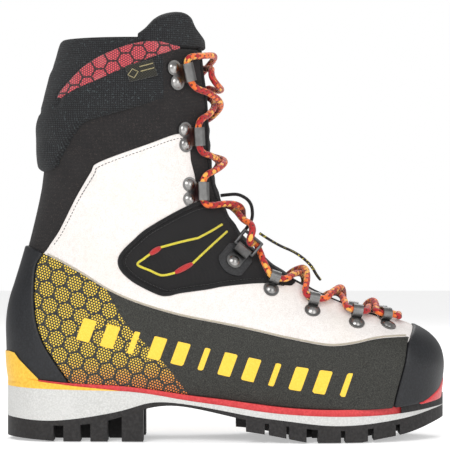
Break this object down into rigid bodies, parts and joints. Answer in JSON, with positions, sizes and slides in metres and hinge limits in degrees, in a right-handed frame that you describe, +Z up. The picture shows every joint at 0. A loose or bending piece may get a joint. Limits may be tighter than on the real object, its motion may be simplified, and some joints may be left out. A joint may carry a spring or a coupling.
{
  "type": "mountaineering boot",
  "caption": "Laced mid-height mountaineering boot with a stiff lugged sole, rubber rand, flexing padded cuff, lace hooks, ankle lock rings and a folding tongue top.",
  "frame": {"origin": "on the ground, under the middle of the boot's bounding box", "axes": "+X to the toe, +Y to the inner (medial) side of the right foot, +Z up"},
  "size_m": [0.314, 0.1075, 0.3021],
  "materials": {
    "rubber_black": "matte moulded black rubber",
    "midsole_foam": "matte light grey",
    "welt_yellow": "satin yellow",
    "welt_red": "satin red",
    "board": "matte grey board",
    "footbed_foam": "grey felt over foam",
    "rand_rubber": "black rubber, satin, with a raised honeycomb of dots",
    "leather_white": "fine off-white suede-like leather",
    "stiffener": "matte grey sheet",
    "lining": "brushed charcoal lining",
    "tongue_fabric": "soft black fabric over foam",
    "metal_dark": "gunmetal plated steel",
    "rivet_steel": "bright plated steel",
    "lace_cord": "round braided cord, orange with red and yellow flecks",
    "pull_cord": "thin black cord with yellow flecks",
    "fabric_black": "woven black fabric",
    "strap_black": "black webbing with a yellow edge",
    "collar_fabric": "soft knitted black fabric over foam",
    "collar_print": "black fabric with a red dotted honeycomb",
    "tag_fabric": "dark olive woven tag",
    "lace_tip": "clear black plastic tip"
  },
  "bodies": {
    "lower": {"outsole": "rubber_black", "midsole": "midsole_foam", "heel_welt": "welt_yellow", "welt_strip": "welt_red", "toe_welt": "rubber_black", "insole_board": "board", "footbed": "footbed_foam", "toe_cap_rand": "rand_rubber", "heel_rand": "rand_rubber", "side_rand_lateral": "rand_rubber", "side_rand_medial": "rand_rubber", "leather_upper_lateral": "leather_white", "leather_upper_medial": "leather_white", "toe_puff": "stiffener", "heel_counter": "stiffener", "liner_lower": "lining", "tongue_lower": "tongue_fabric", "lace_loop_1_lateral": "metal_dark", "lace_loop_1_medial": "metal_dark", "lace_loop_2_lateral": "metal_dark", "lace_loop_2_medial": "metal_dark", "lace_loop_3_lateral": "metal_dark", "lace_loop_3_medial": "metal_dark", "lace_loop_4_lateral": "metal_dark", "lace_loop_4_medial": "metal_dark", "ankle_lock_strap_lateral": "metal_dark", "ankle_lock_strap_medial": "metal_dark", "ankle_lock_patches": "rubber_black", "lace_loop_rivets": "rivet_steel", "lace_lower": "lace_cord", "pull_cord": "pull_cord", "flex_panel_lateral": "fabric_black", "flex_panel_medial": "fabric_black", "achilles_flex": "fabric_black", "tongue_flex": "tongue_fabric", "liner_flex": "lining", "lace_flex": "lace_cord", "keeper_strap": "strap_black"},
    "cuff": {"quarter_top_lateral": "leather_white", "cuff_fabric_lateral": "fabric_black", "quarter_top_medial": "leather_white", "cuff_fabric_medial": "fabric_black", "collar_pad": "collar_fabric", "collar_inserts": "collar_print", "collar_tag": "tag_fabric", "liner_cuff": "lining", "tongue_cuff": "tongue_fabric", "hook_1_lateral": "metal_dark", "hook_1_medial": "metal_dark", "hook_2_lateral": "metal_dark", "hook_2_medial": "metal_dark", "hook_3_lateral": "metal_dark", "hook_3_medial": "metal_dark", "hook_rivets": "rivet_steel", "lace_cuff": "lace_cord", "lace_tips": "lace_tip"},
    "tongue_flap": {"tongue_top": "tongue_fabric"},
    "ring_lateral": {"ankle_lock_ring_lateral": "metal_dark"},
    "ring_medial": {"ankle_lock_ring_medial": "metal_dark"}
  },
  "joints": [
    {"name": "cuff_flex", "type": "hinge", "parent": "lower", "child": "cuff", "pos_m": [-0.07, 0, 0.125], "axis": [0, 1, 0], "range_deg": [-6, 12], "stiffness_Nm_per_rad": 12, "deforming": ["flex_panel_lateral", "flex_panel_medial", "achilles_flex", "tongue_flex", "liner_flex", "lace_flex", "keeper_strap"]},
    {"name": "tongue_top_fold", "type": "hinge", "parent": "cuff", "child": "tongue_flap", "pos_m": [-0.015, 0, 0.2755], "axis": [0, 1, 0], "range_deg": [0, 32], "stiffness_Nm_per_rad": 0.25},
    {"name": "ring_lateral_tilt", "type": "hinge", "parent": "lower", "child": "ring_lateral", "pos_m": [0.01246, -0.02795, 0.13467], "axis": [-0.769, -0.0149, 0.6391], "range_deg": [0, 5]},
    {"name": "ring_medial_tilt", "type": "hinge", "parent": "lower", "child": "ring_medial", "pos_m": [0.01252, 0.02845, 0.13475], "axis": [0.7689, -0.0205, -0.6391], "range_deg": [0, 5]}
  ]
}
